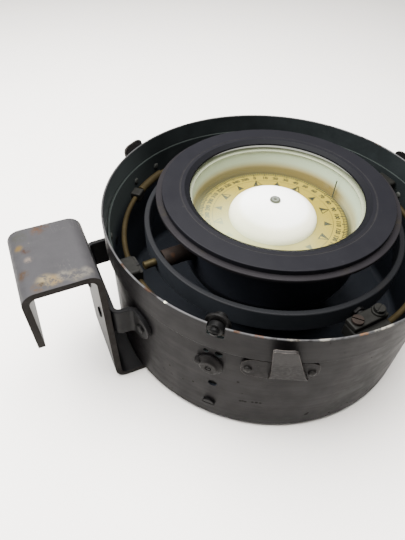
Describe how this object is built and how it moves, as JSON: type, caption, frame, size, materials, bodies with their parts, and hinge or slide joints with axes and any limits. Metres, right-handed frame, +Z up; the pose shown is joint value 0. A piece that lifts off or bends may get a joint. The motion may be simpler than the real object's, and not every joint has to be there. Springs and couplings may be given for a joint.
{
  "type": "ship compass",
  "caption": "Gimballed liquid compass in a round steel pan with a flat hook for hanging on a board, a spring hoop suspension and catches for a hood.",
  "frame": {"origin": "on the pan's vertical axis, on the underside of its flat floor", "axes": "+Z up; +X towards the lubber line, away from the hook; +Y to port"},
  "size_m": [0.2803, 0.22, 0.1057],
  "materials": {
    "pan_paint": "worn satin dark grey paint over steel",
    "hook_steel": "scuffed mid-grey paint over steel, light rust",
    "rivet_steel": "dull tarnished steel",
    "brass": "tarnished brass",
    "black_paint": "satin blue-black paint",
    "ring_paint": "satin dark grey paint, worn bright on the edges",
    "white_enamel": "smooth white enamel",
    "card_face": "aged cream printed face",
    "clear_glass": "clear",
    "rubber": "matt white",
    "lead": "dull grey"
  },
  "bodies": {
    "pan": {"pan_body": "pan_paint", "coaming": "pan_paint", "catch_fore": "rivet_steel", "catch_port": "rivet_steel", "catch_starboard": "rivet_steel", "hook_bracket": "hook_steel", "hook_saddle": "pan_paint", "rim_stud": "rivet_steel", "stud_washer": "rivet_steel", "fitting_boss": "pan_paint", "fitting_screw": "rivet_steel", "lower_screw": "rivet_steel", "wall_clamp_fore": "pan_paint", "wall_clamp_aft": "pan_paint", "wall_clamp_screw_fore": "rivet_steel", "wall_clamp_screw_aft": "rivet_steel", "spring_hoop": "brass", "hoop_ferrule": "rivet_steel", "hoop_joint_tube": "brass", "catch_fore_rivet_a": "rivet_steel", "catch_fore_rivet_b": "rivet_steel", "catch_port_rivet_a": "rivet_steel", "catch_port_rivet_b": "rivet_steel", "catch_starboard_rivet_a": "rivet_steel", "catch_starboard_rivet_b": "rivet_steel", "hook_rivet_a": "rivet_steel", "saddle_rivet_a": "rivet_steel", "hook_rivet_b": "rivet_steel", "saddle_rivet_b": "rivet_steel"},
    "suspension": {"bearing_block_port": "pan_paint", "bearing_cap_port": "pan_paint", "cap_screw_port_a": "rivet_steel", "cap_screw_port_b": "rivet_steel", "bearing_block_starboard": "pan_paint", "bearing_cap_starboard": "pan_paint", "cap_screw_starboard_a": "rivet_steel", "cap_screw_starboard_b": "rivet_steel"},
    "gimbal_ring": {"gimbal_ring": "ring_paint", "ring_pin_port": "rivet_steel", "ring_pin_starboard": "rivet_steel", "bowl_screw_fore": "brass", "bowl_screw_aft": "brass"},
    "bowl": {"bowl": "black_paint", "bowl_flange": "black_paint", "bezel": "black_paint", "glass": "clear_glass", "gasket": "rubber", "lubber_wire": "rivet_steel", "pivot_bridge": "brass", "pivot_post": "rivet_steel", "diaphragm": "brass", "bottom_cover": "black_paint", "ballast": "lead", "filler_plug": "brass"},
    "card": {"card": "card_face", "float": "white_enamel", "pivot_cap": "rivet_steel", "magnet_carrier": "brass", "magnet_a": "rivet_steel", "magnet_b": "rivet_steel"}
  },
  "joints": [
    {"name": "suspension_travel", "type": "slide", "parent": "pan", "child": "suspension", "axis": [0, 0, 1], "range_m": [-0.003, 0.003], "stiffness_N_per_m": 12000, "springref_m": 0.00192, "deforming": ["spring_hoop", "hoop_joint_tube", "hoop_ferrule"]},
    {"name": "ring_swing", "type": "hinge", "parent": "suspension", "child": "gimbal_ring", "pos_m": [0, 0, 0.0775], "axis": [0, 1, 0], "range_deg": [-35, 35]},
    {"name": "bowl_swing", "type": "hinge", "parent": "gimbal_ring", "child": "bowl", "pos_m": [0, 0, 0.0775], "axis": [1, 0, 0], "range_deg": [-35, 35]},
    {"name": "card_turn", "type": "hinge", "parent": "bowl", "child": "card", "pos_m": [0, 0, 0.0906], "axis": [0, 0, 1], "continuous": true}
  ]
}
